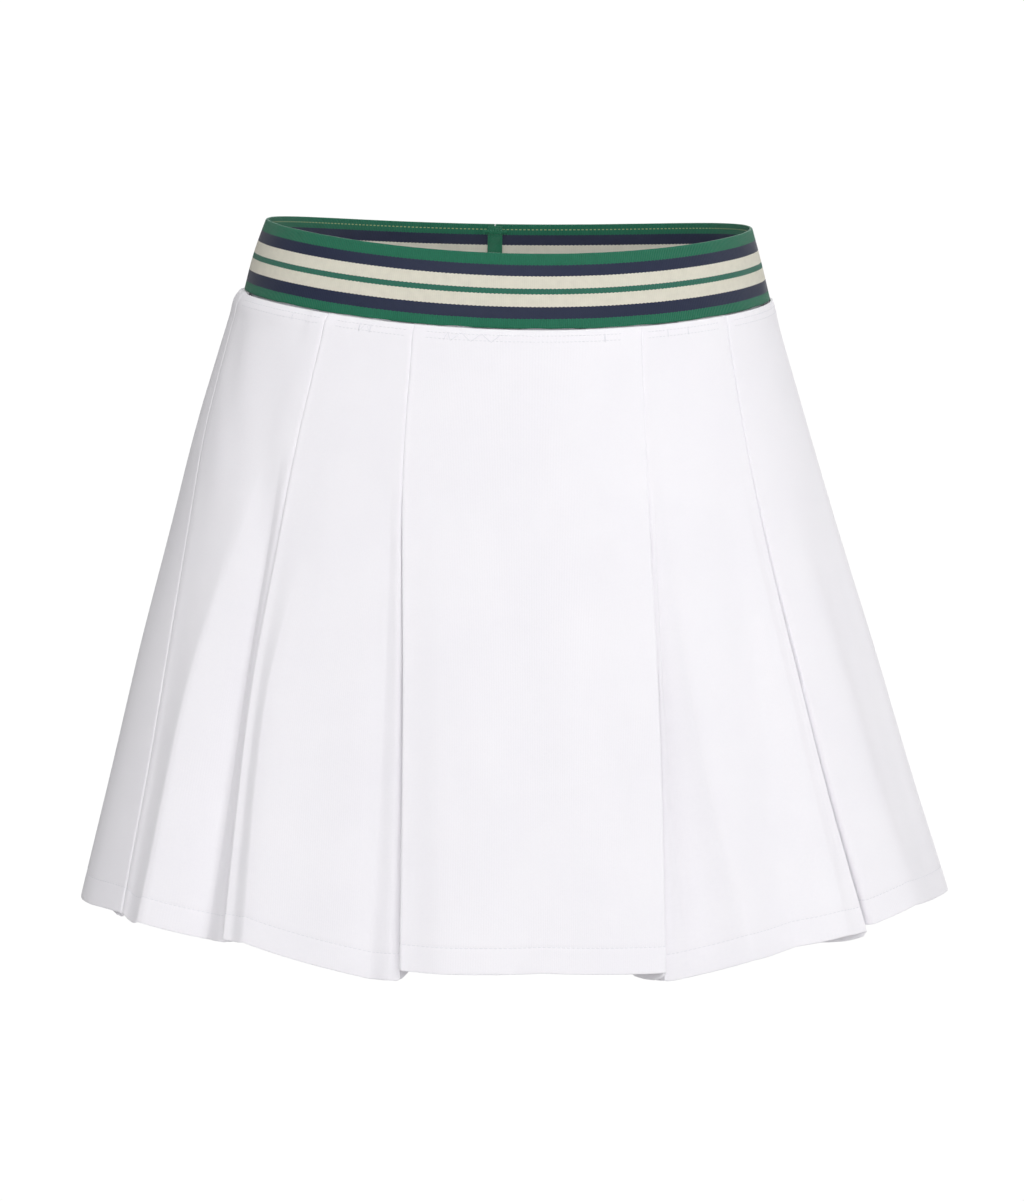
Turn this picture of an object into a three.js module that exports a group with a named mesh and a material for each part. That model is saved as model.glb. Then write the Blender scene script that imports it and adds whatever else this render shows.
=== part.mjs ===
// A woman's pleated tennis skort, filled out as if worn.
//
// Millimetres, +Z up, the front faces -Y. The origin is in the middle of the waistband's loop, where the
// wearer's waist holds it. Plan places are given by an angle: 0 at the centre front, +90 at the wearer's
// left side (+X), 180 at the centre back. "Drop" is the length of cloth below the waist seam.

import * as THREE from 'three';

// ---------------------------------------------------------------- driving sizes

const KNIT = 1.2; // wall of the skirt and shorts
const LAYER_GAP = 0.5; // air between the folded layers of a pleat
const SEAM_GAP = 0.4; // between pieces where they are sewn together
const SIDE_SEAM_GAP = 0.6; // between the front and the back, inside the side pleats
const LAYER = KNIT + LAYER_GAP; // from one folded layer to the next

const SKIRT_LENGTH = 340; // waist seam to hem, along the cloth
const STITCHED = 75; // the pleats are stitched down this far below the seam
const PLEAT_TUCK = 29; // from a pleat's outer crease to its inner one
const FOLD_RADIUS = LAYER / 2;
const SPREAD = 2.4; // how much further apart a pleat's hidden layers hang at the hem
const FULL_SWING = 24; // from this much inward, a pleat hangs quite open
const SHELF_SPARE = 4; // a panel lies flat on a pleat's layers until this far past them

const BAND_HEIGHT = 40;
const BAND_WALL = 1.5;
const BAND_DIP = 4.4; // the waist line is this much lower at the front and back, and higher at the sides
const BAND_TILT = 3.2; // and this much higher on the wearer's right hip than level

const TAPE_WIDTH = 8;
const TAPE_WALL = 0.8;

const HIP_DOWN = 130; // waist seam to the start of the shorts' crotch curve
const CROTCH_DOWN = 212; // waist seam to the crotch
const LEG_DOWN = 274; // waist seam to the leg openings

// Plan half-sizes of the waistband's outer face, from its top edge to its bottom edge.
const BAND_ROWS = [
  { down: 0, rightHip: 131.5, leftHip: 132.0, front: 90.0, back: 90.0 },
  { down: 20, rightHip: 138.0, leftHip: 137.0, front: 93.5, back: 94.0 },
  { down: 40, rightHip: 143.5, leftHip: 142.0, front: 97.0, back: 98.0 },
];

// Plan half-sizes of the skirt before its folds.
const SKIRT_ROWS = [
  { drop: 0, rightHip: 144.0, leftHip: 141.0, front: 97.5, back: 98.5 },
  { drop: 5, rightHip: 147.0, leftHip: 142.5, front: 98.5, back: 99.5 },
  { drop: 14, rightHip: 149.5, leftHip: 144.5, front: 100.0, back: 101.5 },
  { drop: 34, rightHip: 155.5, leftHip: 150.0, front: 103.0, back: 106.0 },
  { drop: 75, rightHip: 167.5, leftHip: 161.5, front: 109.5, back: 114.5 },
  { drop: 130, rightHip: 181.0, leftHip: 177.0, front: 118.5, back: 125.0 },
  { drop: 200, rightHip: 199.0, leftHip: 197.5, front: 129.5, back: 135.5 },
  { drop: 270, rightHip: 215.5, leftHip: 217.0, front: 140.0, back: 144.0 },
  { drop: 340, rightHip: 232.5, leftHip: 237.5, front: 151.0, back: 153.0 },
];

// Plan half-sizes of the shorts above the crotch curve.
const SHORTS_ROWS = [
  { down: 0, rightHip: 139.8, leftHip: 137.2, front: 93.3, back: 95 },
  { down: 60, rightHip: 149, leftHip: 147, front: 97.5, back: 103 },
  { down: 130, rightHip: 158, leftHip: 158, front: 100, back: 110 },
  { down: 212, rightHip: 160, leftHip: 160, front: 100, back: 110 },
];

// Plan of each leg of the shorts: its inner and outer face's distance from the middle, and its depth.
const LEG_ROWS = [
  { down: 212, inner: 0.9, outer: 160, front: 84, back: 94 },
  { down: 243, inner: 4, outer: 159, front: 83, back: 92 },
  { down: 274, inner: 9, outer: 157, front: 82, back: 89 },
];

// The pleats in order round the waist. "under" is +1 where the cloth beyond the crease, at larger angles,
// runs under it, and -1 where the cloth before it does. The angles are the outer crease's at the seam,
// at the end of the stitching, at mid length and at the hem. At the hem the inner crease has swung
// "inward", the cloth beneath has sunk by "gape", and the cloth hangs longer at the crease ("over"), in
// the hidden layers ("inside") and where the cloth comes out beneath ("below").
const PLEATS = {
  backRightInner: {
    under: 1, seam: -155, release: -155.5, mid: -158.5, hem: -162,
    inward: 26, gape: 3, over: 4, inside: 6, below: 6,
  },
  backRightOuter: {
    under: 1, seam: -131, release: -132, mid: -131.5, hem: -131,
    inward: 25, gape: 5, over: 0, inside: 2, below: -2,
  },
  sideRight: {
    under: 1, seam: -83, release: -78.5, mid: -70, hem: -66.5,
    inward: 7, gape: 0, over: 1, inside: 4, below: 1,
  },
  frontRightOuter: {
    under: -1, seam: -44.6, release: -45.6, mid: -46.3, hem: -44,
    inward: 27.8, gape: 3, over: -2, inside: -3, below: 0,
  },
  frontRightInner: {
    under: -1, seam: -23.5, release: -22.6, mid: -19.5, hem: -17.5,
    inward: 27, gape: 4, over: 2, inside: -4, below: 8,
  },
  frontLeftInner: {
    under: 1, seam: 26, release: 23.3, mid: 20.3, hem: 17.2,
    inward: 28.2, gape: 3, over: 3, inside: 7, below: 8,
  },
  frontLeftOuter: {
    under: 1, seam: 50.9, release: 48.3, mid: 48.4, hem: 50.6,
    inward: 23, gape: 4, over: 0, inside: 4, below: -3,
  },
  sideLeft: {
    under: -1, seam: 94, release: 95, mid: 96.5, hem: 98,
    inward: 8, gape: 0, over: 1, inside: 3, below: 1,
  },
  backLeftOuter: {
    under: -1, seam: 131, release: 132, mid: 133, hem: 135,
    inward: 24, gape: 6, over: 0, inside: 2, below: -3,
  },
  backLeftInner: {
    under: -1, seam: 155, release: 156, mid: 159, hem: 161.5,
    inward: 25, gape: 4, over: 4, inside: 6, below: 7,
  },
};

// The soft folds of each panel, between the pleat that it starts at and the one that it ends at. Each has
// its angles as a pleat has, how far it stands out (or, below zero, sinks in) at mid length and at the
// hem, how much longer the cloth hangs there, and how crisp its crest is (0, or left out, is a soft wave).
const PANELS = [
  {
    from: 'sideRight',
    to: 'frontRightOuter',
    folds: [
      { seam: -51, release: -53.5, mid: -60, hem: -60.5, outMid: 4, outHem: 5, longer: 1, crisp: 1 },
      { seam: -48.4, release: -49, mid: -50, hem: -50, outMid: -6, outHem: -9, longer: 1, crisp: 0.4 },
    ],
  },
  {
    from: 'frontRightOuter',
    to: 'frontRightInner',
    folds: [
      { seam: -37, release: -38, mid: -42.3, hem: -40, outMid: 2.5, outHem: 3.5, longer: -2, crisp: 0.3 },
      { seam: -25.5, release: -24.8, mid: -23.2, hem: -22.6, outMid: -4, outHem: -7, longer: 8, crisp: 0.5 },
    ],
  },
  {
    from: 'frontRightInner',
    to: 'frontLeftInner',
    folds: [
      { seam: -15.5, release: -15, mid: -14, hem: -12, outMid: 2, outHem: 4, longer: 2, crisp: 0.4 },
      { seam: 3.5, release: 3, mid: 2, hem: 1, outMid: 0, outHem: 0, longer: 0 },
    ],
  },
  {
    from: 'frontLeftInner',
    to: 'frontLeftOuter',
    folds: [
      { seam: 27.5, release: 24.6, mid: 22, hem: 21.5, outMid: -1, outHem: -3, longer: 7 },
      { seam: 30, release: 26.5, mid: 26.2, hem: 29.8, outMid: 4, outHem: 6, longer: 3, crisp: 1 },
      { seam: 42.5, release: 40.5, mid: 39.5, hem: 37.5, outMid: -2, outHem: -4, longer: -1 },
      { seam: 47.5, release: 45, mid: 45, hem: 46, outMid: 1, outHem: 2, longer: -1 },
    ],
  },
  {
    from: 'frontLeftOuter',
    to: 'sideLeft',
    folds: [
      { seam: 59, release: 57, mid: 59, hem: 62, outMid: 1, outHem: 2, longer: -5 },
      { seam: 69, release: 68, mid: 70, hem: 73, outMid: -1, outHem: -1.5, longer: -2 },
      { seam: 82, release: 82, mid: 83, hem: 85, outMid: 0.5, outHem: 1.5, longer: 0 },
    ],
  },
  {
    from: 'sideLeft',
    to: 'backLeftOuter',
    folds: [
      { seam: 115, release: 115, mid: 116, hem: 117, outMid: -1.5, outHem: -3.5, longer: -2 },
      { seam: 126.5, release: 127, mid: 126, hem: 126, outMid: 2.5, outHem: 5, longer: 0 },
    ],
  },
  {
    from: 'backLeftOuter',
    to: 'backLeftInner',
    folds: [{ seam: 151, release: 152, mid: 153, hem: 154, outMid: 2, outHem: 4, longer: 3 }],
  },
  {
    from: 'backLeftInner',
    to: 'backRightInner',
    folds: [
      { seam: 170, release: 170, mid: 172, hem: 173, outMid: 0.5, outHem: 1.5, longer: 1 },
      { seam: 186, release: 186, mid: 187, hem: 188, outMid: -0.5, outHem: -1.5, longer: 0 },
    ],
  },
  {
    from: 'backRightInner',
    to: 'backRightOuter',
    folds: [{ seam: -152, release: -152.5, mid: -151.5, hem: -152, outMid: 2, outHem: 4, longer: 4 }],
  },
  {
    from: 'backRightOuter',
    to: 'sideRight',
    folds: [
      { seam: -128, release: -129, mid: -124, hem: -120, outMid: 2.5, outHem: 5, longer: 1 },
      { seam: -108, release: -108, mid: -104, hem: -100, outMid: -1.5, outHem: -4, longer: -1 },
      { seam: -91, release: -90, mid: -86, hem: -82, outMid: 1, outHem: 3, longer: 2 },
    ],
  },
];

const SKIRT_LEVELS = [0, 5, 14, 34, 75, 92, 112, 135, 165, 200, 235, 270, 305, 340];
const STEPS_BETWEEN_FOLDS = 3;
const RETURN_STEPS = 3;

const COLOURS = { white: 0xf3f2f8, band: 0x173f3a, tape: 0x0f6248 };

// ---------------------------------------------------------------- small maths

const { lerp, degToRad, smoothstep, clamp } = THREE.MathUtils;

/** A smooth curve through the (x, y) pairs of a table, with slopes taken from the neighbouring rows. */
function curveThrough(xs, ys) {
  const secant = (k) => (ys[k + 1] - ys[k]) / (xs[k + 1] - xs[k]);
  const last = xs.length - 1;
  const slopes = xs.map((_, k) => {
    if (k === 0) return secant(0);
    if (k === last) return secant(last - 1);
    return (secant(k - 1) + secant(k)) / 2;
  });
  return (x) => {
    let k = 0;
    while (k < last - 1 && x > xs[k + 1]) k += 1;
    const width = xs[k + 1] - xs[k];
    const s = clamp((x - xs[k]) / width, 0, 1);
    const rise = ys[k + 1] - ys[k];
    const bend = s * (1 - s) * ((1 - s) * (slopes[k] * width - rise) + s * (rise - slopes[k + 1] * width));
    return ys[k] + s * rise + bend;
  };
}

/** Reads a table of plan half-sizes as a function of one of its columns. */
function planSizes(rows, column) {
  const at = rows.map((row) => row[column]);
  const side = (name) => curveThrough(at, rows.map((row) => row[name]));
  const rightHip = side('rightHip');
  const leftHip = side('leftHip');
  const front = side('front');
  const back = side('back');
  return (x) => ({ rightHip: rightHip(x), leftHip: leftHip(x), front: front(x), back: back(x) });
}

/** The point of an egg-shaped plan at an angle (degrees), its outward normal, and its length per degree. */
function planPoint(size, angle) {
  const sin = Math.sin(degToRad(angle));
  const cos = Math.cos(degToRad(angle));
  const across = sin < 0 ? size.rightHip : size.leftHip;
  const deep = cos < 0 ? size.back : size.front;
  const speed = Math.hypot(across * cos, deep * sin);
  return {
    point: new THREE.Vector2(across * sin, -deep * cos),
    normal: new THREE.Vector2((deep * sin) / speed, (-across * cos) / speed),
    perDegree: degToRad(speed),
  };
}

/** How far the waist line lies above its mean height at an angle. */
function waistLift(angle) {
  return -BAND_DIP * Math.cos(degToRad(2 * angle)) - BAND_TILT * Math.sin(degToRad(angle));
}

/** Moves each point of a plan polyline sideways, with mitred corners, to the right of its direction. */
function offsetLine(points, distance) {
  return points.map((point, k) => {
    const before = points[Math.max(k - 1, 0)];
    const after = points[Math.min(k + 1, points.length - 1)];
    const into = point.clone().sub(before).normalize();
    const onward = after.clone().sub(point).normalize();
    if (k === 0) into.copy(onward);
    if (k === points.length - 1) onward.copy(into);
    const turn = new THREE.Vector2(into.y + onward.y, -into.x - onward.x).normalize();
    const cosine = Math.max(turn.dot(new THREE.Vector2(into.y, -into.x)), 0.45);
    return point.clone().addScaledVector(turn, distance / cosine);
  });
}

// ---------------------------------------------------------------- closed walls

/**
 * A closed wall between two grids of points, outer[row][column] and inner[row][column]. Rows run
 * downwards and columns with the angle. "loop" joins the last column to the first.
 */
function wallGeometry(outer, inner, loop) {
  const rows = outer.length;
  const columns = outer[0].length;
  const positions = [];
  for (const grid of [outer, inner]) {
    for (const row of grid) {
      for (const p of row) positions.push(p.x, p.y, p.z);
    }
  }
  const outerAt = (r, c) => r * columns + (c % columns);
  const innerAt = (r, c) => rows * columns + outerAt(r, c);
  const index = [];
  const quad = (a, b, c, d) => index.push(a, b, c, a, c, d);
  const spans = loop ? columns : columns - 1;
  for (let r = 0; r < rows - 1; r += 1) {
    for (let c = 0; c < spans; c += 1) {
      quad(outerAt(r, c), outerAt(r + 1, c), outerAt(r + 1, c + 1), outerAt(r, c + 1));
      quad(innerAt(r, c), innerAt(r, c + 1), innerAt(r + 1, c + 1), innerAt(r + 1, c));
    }
  }
  for (let c = 0; c < spans; c += 1) {
    quad(innerAt(0, c), outerAt(0, c), outerAt(0, c + 1), innerAt(0, c + 1));
    quad(outerAt(rows - 1, c), innerAt(rows - 1, c), innerAt(rows - 1, c + 1), outerAt(rows - 1, c + 1));
  }
  if (!loop) {
    const end = columns - 1;
    for (let r = 0; r < rows - 1; r += 1) {
      quad(outerAt(r, 0), innerAt(r, 0), innerAt(r + 1, 0), outerAt(r + 1, 0));
      quad(innerAt(r, end), outerAt(r, end), outerAt(r + 1, end), innerAt(r + 1, end));
    }
  }
  const geometry = new THREE.BufferGeometry();
  geometry.setAttribute('position', new THREE.Float32BufferAttribute(positions, 3));
  geometry.setIndex(index);
  geometry.computeVertexNormals();
  return geometry;
}

function namedMesh(name, geometry, colour, roughness) {
  const material = new THREE.MeshStandardMaterial({ color: colour, roughness, metalness: 0 });
  const mesh = new THREE.Mesh(geometry, material);
  mesh.name = name;
  return mesh;
}

// ---------------------------------------------------------------- waistband and its tape

const bandSizes = planSizes(BAND_ROWS, 'down');
const BAND_STEPS = 72;

/** A point of the waistband's outer face, moved out by "out", at a distance below the top edge. */
function bandPoint(angle, down, out) {
  const { point, normal } = planPoint(bandSizes(down), angle);
  point.addScaledVector(normal, out);
  return new THREE.Vector3(point.x, point.y, bandHeight(angle, down));
}

/** The waistband leans outwards on its way down, so it stands a little less tall than its width. */
function bandHeight(angle, down) {
  const top = planPoint(bandSizes(0), angle).point;
  const bottom = planPoint(bandSizes(BAND_HEIGHT), angle).point;
  const tall = Math.sqrt(BAND_HEIGHT ** 2 - top.distanceTo(bottom) ** 2);
  return waistLift(angle) + tall * (0.5 - down / BAND_HEIGHT);
}

function makeWaistband() {
  const face = (out) =>
    BAND_ROWS.map(({ down }) =>
      Array.from({ length: BAND_STEPS }, (_, k) => bandPoint((k * 360) / BAND_STEPS - 180, down, out)),
    );
  return namedMesh('waistband', wallGeometry(face(0), face(-BAND_WALL), true), COLOURS.band, 0.75);
}

/** The tape that covers the waistband's join at the centre back, on its inner face. */
function makeBandTape() {
  const columns = 4;
  const clear = 1; // left bare at the band's top and bottom edges
  const { perDegree } = planPoint(bandSizes(0), 180);
  const step = TAPE_WIDTH / columns / perDegree;
  const angles = Array.from({ length: columns + 1 }, (_, k) => 180 + (k - columns / 2) * step);
  const levels = [clear, BAND_HEIGHT / 2, BAND_HEIGHT - clear];
  const face = (out) => levels.map((down) => angles.map((angle) => bandPoint(angle, down, out)));
  const outer = -BAND_WALL - SEAM_GAP;
  return namedMesh('band_tape', wallGeometry(face(outer), face(outer - TAPE_WALL), false), COLOURS.tape, 0.7);
}

// ---------------------------------------------------------------- pleated skirt

const skirtSizes = planSizes(SKIRT_ROWS, 'drop');
const FOLD_STATIONS = [STITCHED, 200, SKIRT_LENGTH];

/** How far the pleats and folds have opened at a drop: 0 down to the end of the stitching, 1 at the hem. */
function opening(drop) {
  return clamp((drop - STITCHED) / (SKIRT_LENGTH - STITCHED), 0, 1);
}

/** The angle of a pleat's outer crease, or of a soft fold, at a drop. */
function angleAt(row, drop) {
  return curveThrough([0, ...FOLD_STATIONS], [row.seam, row.release, row.mid, row.hem])(drop);
}

/**
 * The folded layers of one pleat at a drop, as nodes from its upper panel, over the outer crease, back
 * along the return, round the inner crease and out again underneath. "side" is the distance in mm from the
 * outer crease along the plan and "out" the distance outwards.
 */
function pleatNodes(pleat, drop, returnSteps) {
  const open = opening(drop);
  const inward = pleat.inward * open;
  const fin = new THREE.Vector2(-Math.sqrt(PLEAT_TUCK ** 2 - inward ** 2), -inward).divideScalar(PLEAT_TUCK);
  const beside = new THREE.Vector2(-fin.y, fin.x);
  const radius = FOLD_RADIUS + (SPREAD / 2) * open * Math.min(pleat.inward / FULL_SWING, 1);
  const mouth = new THREE.Vector2(0, -radius);
  const innerCrease = mouth.clone().addScaledVector(fin, PLEAT_TUCK);
  const neck = innerCrease.clone().addScaledVector(fin, -radius);
  const returnStart = new THREE.Vector2(-FOLD_RADIUS, 0);
  const returnEnd = neck.clone().addScaledVector(beside, -radius);
  const underStart = neck.clone().addScaledVector(beside, radius);
  const underEnd = mouth.clone().addScaledVector(beside, radius);
  underEnd.y -= pleat.gape * open;
  const between = (a, b, steps) =>
    Array.from({ length: steps - 1 }, (_, k) => a.clone().lerp(b, (k + 1) / steps));
  const nodes = [
    new THREE.Vector2(-FOLD_RADIUS, LAYER),
    new THREE.Vector2(0, FOLD_RADIUS),
    returnStart,
    ...between(returnStart, returnEnd, returnSteps),
    returnEnd,
    innerCrease,
    underStart,
    ...between(underStart, underEnd, returnSteps),
    underEnd,
  ];
  return nodes.map((node, k) => {
    const share = k / (nodes.length - 1);
    const before = lerp(pleat.over, pleat.inside, smoothstep(share, 0.1, 0.35));
    const after = lerp(pleat.inside, pleat.below, smoothstep(share, 0.65, 0.95));
    return { side: node.x * pleat.under, out: node.y, longer: share < 0.5 ? before : after };
  });
}

/** A pleat's nodes in the order of the plan, with their angles. */
function pleatStations(pleat, drop, turns) {
  const { perDegree } = planPoint(skirtSizes(drop), angleAt(pleat, drop));
  const crease = angleAt(pleat, drop) + 360 * turns;
  const stations = pleatNodes(pleat, drop, RETURN_STEPS).map(({ side, out, longer }) => ({
    angle: crease + side / perDegree,
    out,
    longer,
  }));
  return pleat.under > 0 ? stations : stations.reverse();
}

/** A panel lies flat on the layers of a pleat that it covers for this far (degrees) from the crease. */
function shelf(pleat, drop) {
  const lean = Math.sqrt(PLEAT_TUCK ** 2 - (pleat.inward * opening(drop)) ** 2);
  return (lean + 3 * FOLD_RADIUS + SHELF_SPARE) / planPoint(skirtSizes(drop), angleAt(pleat, drop)).perDegree;
}

/** The stations of one panel at a drop, between the last node of one pleat and the first of the next. */
function panelStations(panel, drop, start, end) {
  const startPleat = PLEATS[panel.from];
  const endPleat = PLEATS[panel.to];
  const flatTo = start.angle + (startPleat.under < 0 ? shelf(startPleat, drop) : 0);
  const flatFrom = end.angle - (endPleat.under > 0 ? shelf(endPleat, drop) : 0);
  const folds = panel.folds.map((fold) => ({
    angle: angleAt(fold, drop),
    out: curveThrough(FOLD_STATIONS, [0, fold.outMid, fold.outHem])(Math.max(drop, STITCHED)),
    longer: fold.longer,
    crisp: fold.crisp ?? 0,
  }));
  for (const fold of folds) {
    if (fold.angle < start.angle - 180) fold.angle += 360;
  }
  const nodes = [{ ...start, out: 0, crisp: 0 }, ...folds, { ...end, out: 0, crisp: 0 }];
  const stations = [];
  for (let k = 0; k < nodes.length - 1; k += 1) {
    for (let step = k === 0 ? 1 : 0; step < STEPS_BETWEEN_FOLDS; step += 1) {
      const s = step / STEPS_BETWEEN_FOLDS;
      const angle = lerp(nodes[k].angle, nodes[k + 1].angle, s);
      const across = clamp((angle - flatTo) / (flatFrom - flatTo), 0, 1);
      const layer = lerp(start.out, end.out, lerp(across, smoothstep(across, 0, 1), 0.25));
      const crests = nodes[k].crisp * s * (1 - s) ** 2 - nodes[k + 1].crisp * s ** 2 * (1 - s);
      stations.push({
        angle,
        out: layer + lerp(nodes[k].out, nodes[k + 1].out, smoothstep(s, 0, 1) + crests),
        longer: lerp(nodes[k].longer, nodes[k + 1].longer, s),
      });
    }
  }
  return stations;
}

/** All stations of one cut piece at a drop, from the side seam in its first pleat to the one in its last. */
function pieceStations(panels, drop) {
  const stations = [];
  let turns = 0;
  panels.forEach((panel, k) => {
    const startPleat = PLEATS[panel.from];
    const endPleat = PLEATS[panel.to];
    const first = pleatStations(startPleat, drop, turns);
    if (endPleat.seam < startPleat.seam) turns += 1;
    const last = pleatStations(endPleat, drop, turns);
    if (k === 0) stations.push(...first.slice(seamNode(startPleat, first)));
    else stations.push(...first);
    stations.push(...panelStations(panel, drop, first.at(-1), last[0]));
    if (k === panels.length - 1) stations.push(...last.slice(0, seamNode(endPleat, last) + 1));
  });
  return stations;
}

/** The first node along a pleat's return, behind its outer crease, where a side seam lies. */
function seamNode(pleat, stations) {
  return pleat.under > 0 ? 3 : stations.length - 4;
}

/** One cut piece of the skirt: a wall through its sections, each column as long as the cloth is. */
function makeSkirtPiece(name, panels) {
  const sections = SKIRT_LEVELS.map((drop) => {
    const stations = pieceStations(panels, drop);
    const line = stations.map(({ angle, out }) => {
      const { point, normal } = planPoint(skirtSizes(drop), angle);
      return point.addScaledVector(normal, out);
    });
    const trim = SIDE_SEAM_GAP / 2;
    line[0].addScaledVector(line[1].clone().sub(line[0]).normalize(), trim);
    const end = line.length - 1;
    line[end].addScaledVector(line[end - 1].clone().sub(line[end]).normalize(), trim);
    return { drop, stations, line };
  });
  const heights = sections[0].stations.map(({ angle }) => bandHeight(angle, BAND_HEIGHT) - SEAM_GAP);
  const rows = sections.map(({ drop, stations, line }, level) => {
    if (level > 0) {
      const above = sections[level - 1];
      stations.forEach(({ longer }, k) => {
        const cloth = (drop - above.drop) * (1 + longer / SKIRT_LENGTH);
        const slide = Math.min(line[k].distanceTo(above.line[k]), 0.9 * cloth);
        heights[k] -= Math.sqrt(cloth ** 2 - slide ** 2);
      });
    }
    const face = (out) => offsetLine(line, out).map((p, k) => new THREE.Vector3(p.x, p.y, heights[k]));
    return { outer: face(KNIT / 2), inner: face(-KNIT / 2) };
  });
  const geometry = wallGeometry(rows.map((row) => row.outer), rows.map((row) => row.inner), false);
  return namedMesh(name, geometry, COLOURS.white, 0.85);
}

const FRONT_PANELS = PANELS.slice(0, 5);
const BACK_PANELS = PANELS.slice(5);

// ---------------------------------------------------------------- inner shorts

const shortsSizes = planSizes(SHORTS_ROWS, 'down');
const SHORTS_STEPS = 26;
const CROTCH_STEPS = 6;

const legCurve = (name) => curveThrough(LEG_ROWS.map((row) => row.down), LEG_ROWS.map((row) => row[name]));
const legInner = legCurve('inner');
const legOuter = legCurve('outer');
const legFront = legCurve('front');
const legBack = legCurve('back');

/** A plan point of one leg, from the inseam (0) round the front, the outer side and the back to it (1). */
function legPoint(down, round) {
  const inner = legInner(down);
  const half = (legOuter(down) - inner) / 2;
  const seam = SEAM_GAP / 2 / legFront(down);
  const turn = lerp(seam, 2 * Math.PI - seam, round);
  const deep = turn < Math.PI ? legFront(down) : legBack(down);
  return new THREE.Vector2(inner + half * (1 - Math.cos(turn)), -deep * Math.sin(turn));
}

/** A plan point of one half of the shorts above the crotch, from the centre front (0) to the back (1). */
function hipPoint(down, round, side) {
  const { point } = planPoint(shortsSizes(down), side * lerp(0, 180, round));
  return new THREE.Vector2(Math.abs(point.x) + SEAM_GAP / 2, point.y);
}

/** The rows of one half: flat above, the crotch curve as a quarter round in side view, then the leg. */
function shortsRows() {
  const above = [0, 60, 100].map((down) => ({ down, closed: 0 }));
  const curve = Array.from({ length: CROTCH_STEPS + 1 }, (_, k) => {
    const turn = (k / CROTCH_STEPS) * (Math.PI / 2);
    return { down: lerp(HIP_DOWN, CROTCH_DOWN, Math.sin(turn)), closed: 1 - Math.cos(turn) };
  });
  const leg = [LEG_ROWS[1].down, LEG_DOWN].map((down) => ({ down, closed: 1 }));
  return [...above, ...curve, ...leg];
}

/** One half of the shorts, cut in one piece. "side" is -1 for the wearer's right and +1 for the left. */
function makeShortsHalf(name, side) {
  const rows = shortsRows().map(({ down, closed }) =>
    Array.from({ length: SHORTS_STEPS + 1 }, (_, k) => {
      const round = k / SHORTS_STEPS;
      const plan = hipPoint(Math.min(down, CROTCH_DOWN), round, side);
      plan.lerp(legPoint(Math.max(down, CROTCH_DOWN), round), closed);
      const level = clamp(1 - down / HIP_DOWN, 0, 1);
      const seam = bandHeight(side * lerp(0, 180, round), BAND_HEIGHT) - SEAM_GAP;
      return new THREE.Vector3(side * plan.x, plan.y, lerp(-BAND_HEIGHT / 2, seam, level) - down);
    }),
  );
  if (side < 0) rows.forEach((row) => row.reverse());
  const moved = (p, r, c, out) => p.clone().addScaledVector(gridNormal(rows, r, c), out);
  const face = (out) => rows.map((row, r) => row.map((p, c) => moved(p, r, c, out)));
  return namedMesh(name, wallGeometry(face(KNIT / 2), face(-KNIT / 2), false), COLOURS.white, 0.85);
}

/** The outward normal of a grid of points whose rows run downwards and columns to larger angles. */
function gridNormal(grid, r, c) {
  const at = (row, column) => grid[clamp(row, 0, grid.length - 1)][clamp(column, 0, grid[0].length - 1)];
  const along = at(r, c + 1).clone().sub(at(r, c - 1));
  const down = at(r + 1, c).clone().sub(at(r - 1, c));
  return down.cross(along).normalize();
}

// ---------------------------------------------------------------- assembly

const skort = new THREE.Group();
skort.name = 'pleated_skort';
skort.add(makeWaistband(), makeBandTape());
skort.add(makeSkirtPiece('skirt_front', FRONT_PANELS), makeSkirtPiece('skirt_back', BACK_PANELS));
skort.add(makeShortsHalf('shorts_right', -1), makeShortsHalf('shorts_left', 1));

export default skort;
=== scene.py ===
import math

import bpy
import numpy as np
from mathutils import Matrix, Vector


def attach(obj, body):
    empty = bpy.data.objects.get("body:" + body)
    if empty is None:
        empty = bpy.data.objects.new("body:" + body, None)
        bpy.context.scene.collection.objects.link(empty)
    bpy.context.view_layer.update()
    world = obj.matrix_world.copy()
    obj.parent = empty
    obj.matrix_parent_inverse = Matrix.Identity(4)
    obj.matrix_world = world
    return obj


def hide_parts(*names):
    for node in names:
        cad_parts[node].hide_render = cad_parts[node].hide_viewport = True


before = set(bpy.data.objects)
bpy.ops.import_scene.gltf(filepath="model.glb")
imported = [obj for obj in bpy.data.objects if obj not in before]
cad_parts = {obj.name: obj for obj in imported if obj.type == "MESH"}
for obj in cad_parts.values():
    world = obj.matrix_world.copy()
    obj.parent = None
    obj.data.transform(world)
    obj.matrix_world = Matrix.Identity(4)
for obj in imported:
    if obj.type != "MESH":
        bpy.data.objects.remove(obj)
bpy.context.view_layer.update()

# ---------------------------------------------------------------- camera
# Stands four metres off, a little above the waistband and a little to the wearer's right of the front.

CAMERA_DISTANCE = 4.0
CAMERA_RIGHT = 5.0  # degrees from straight ahead
CAMERA_UP = 8.0  # degrees above level
AIM = Vector((0.0016, 0.0, -0.1827))

camera_data = bpy.data.cameras.new("camera")
camera_data.sensor_fit = "HORIZONTAL"
camera_data.sensor_width = 36.0
camera_data.lens = 258.0
camera = bpy.data.objects.new("camera", camera_data)
bpy.context.scene.collection.objects.link(camera)
around, above = math.radians(-CAMERA_RIGHT), math.radians(CAMERA_UP)
towards_camera = Vector(
    (math.sin(around) * math.cos(above), -math.cos(around) * math.cos(above), math.sin(above))
)
camera.location = AIM + CAMERA_DISTANCE * towards_camera
camera.rotation_euler = towards_camera.to_track_quat("Z", "Y").to_euler()
bpy.context.scene.camera = camera

# ---------------------------------------------------------------- floor and light
# A plain white studio: a pale floor well below the hem, white all round, and large soft lights in front,
# above, behind and at both sides, stronger at the wearer's left than at the right.

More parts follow.
